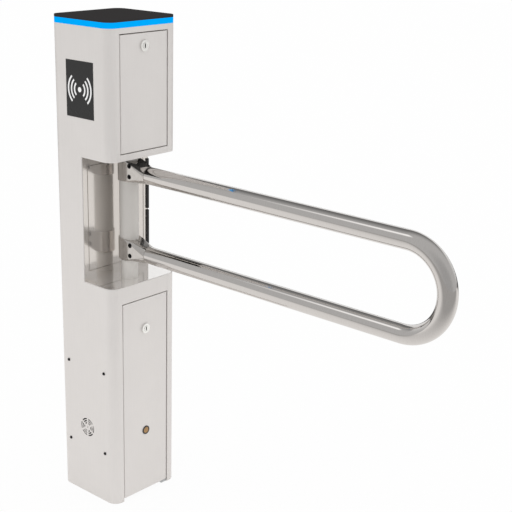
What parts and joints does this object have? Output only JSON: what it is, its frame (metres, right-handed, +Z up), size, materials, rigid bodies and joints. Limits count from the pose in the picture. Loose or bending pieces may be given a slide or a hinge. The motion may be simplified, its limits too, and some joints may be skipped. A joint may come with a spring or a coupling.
{
  "type": "swing turnstile",
  "caption": "Upright steel column with a card reader, a light ring and a recess in which a driven post swings a U-shaped tubular arm across a lane.",
  "frame": {"origin": "middle of the column's footprint on the floor, which is the middle of the four anchor holes", "axes": "+Z up; +X towards the lane side, which the arm and both doors face; -Y the side with the reader"},
  "size_m": [0.8612, 0.1778, 0.98],
  "materials": {
    "zinc_plate": "zinc plated",
    "black_rubber": "matte",
    "stainless_sheet": "fine brushed",
    "stainless_screw": "plain",
    "polished_sheet": "polished",
    "white_board": "matte",
    "blue_light": "opal, lit blue",
    "black_lid": "glossy",
    "dark_window": "satin",
    "white_print": "matte",
    "black_plastic": "matte",
    "black_screw": "blackened",
    "aluminium_case": "plain",
    "green_board": "solder mask",
    "grey_casting": "painted",
    "dark_enamel": "satin",
    "bearing_steel": "ground",
    "blasted_steel": "bead blasted",
    "bronze": "plain",
    "sensor_brass": "plain",
    "bright_chrome": "polished",
    "amber_lens": "clear amber",
    "satin_casting": "satin",
    "polished_tube": "polished"
  },
  "bodies": {
    "column": {"foot_plate": "zinc_plate", "floor_grommet": "black_rubber", "near_side_panel": "stainless_sheet", "far_side_panel": "stainless_sheet", "rear_panel": "stainless_sheet", "rear_screws": "stainless_screw", "upper_top_rail": "stainless_sheet", "upper_bottom_rail": "stainless_sheet", "lower_top_rail": "stainless_sheet", "lock_bar": "zinc_plate", "recess_ceiling": "polished_sheet", "recess_floor": "polished_sheet", "recess_back_frame": "polished_sheet", "access_panel": "polished_sheet", "rubber_strips": "black_rubber", "top_tray": "zinc_plate", "light_board": "white_board", "light_diffuser": "blue_light", "top_lid": "black_lid", "reader_window": "dark_window", "reader_symbol": "white_print", "reader_housing": "black_plastic", "speaker": "black_plastic", "side_screws": "black_screw", "equipment_plate": "zinc_plate", "power_supply": "aluminium_case", "control_board": "green_board", "motor_deck": "zinc_plate", "gearbox": "grey_casting", "gearbox_bolts": "black_screw", "motor": "dark_enamel", "brake": "dark_enamel", "lower_bearing_housing": "grey_casting", "upper_bearing_housing": "grey_casting", "shaft_bearings": "bearing_steel", "bearing_boss": "blasted_steel", "thrust_washer": "bronze", "sensor_bridge": "zinc_plate", "position_sensors": "sensor_brass", "door_pins": "bearing_steel"},
    "arm": {"drive_shaft": "bearing_steel", "limit_disc": "dark_enamel", "post": "blasted_steel", "upper_bracket": "satin_casting", "lower_bracket": "satin_casting", "clamp_bolts": "black_screw", "arm_tube": "polished_tube"},
    "upper_door": {"upper_door": "stainless_sheet", "upper_lock_body": "bright_chrome", "upper_lock_nut": "zinc_plate"},
    "lower_door": {"lower_door": "stainless_sheet", "lower_lock_body": "bright_chrome", "lower_lock_nut": "zinc_plate", "passage_sensor": "black_plastic", "sensor_lens": "amber_lens", "sensor_nut": "zinc_plate"},
    "upper_lock": {"upper_lock_plug": "bright_chrome", "upper_lock_cam": "zinc_plate"},
    "lower_lock": {"lower_lock_plug": "bright_chrome", "lower_lock_cam": "zinc_plate"}
  },
  "joints": [
    {"name": "arm_swing", "type": "hinge", "parent": "column", "child": "arm", "pos_m": [0.037, 0, 0.6], "axis": [0, 0, 1], "range_deg": [-90, 90]},
    {"name": "upper_door_hinge", "type": "hinge", "parent": "column", "child": "upper_door", "pos_m": [0.0765, 0.0554, 0.8435], "axis": [0, 0, 1], "range_deg": [0, 90]},
    {"name": "lower_door_hinge", "type": "hinge", "parent": "column", "child": "lower_door", "pos_m": [0.0765, 0.0554, 0.22], "axis": [0, 0, 1], "range_deg": [0, 90]},
    {"name": "upper_lock_turn", "type": "hinge", "parent": "upper_door", "child": "upper_lock", "pos_m": [0.0815, 0, 0.9295], "axis": [1, 0, 0], "range_deg": [0, 90]},
    {"name": "lower_lock_turn", "type": "hinge", "parent": "lower_door", "child": "lower_lock", "pos_m": [0.0815, 0, 0.3705], "axis": [1, 0, 0], "range_deg": [0, 90]}
  ]
}
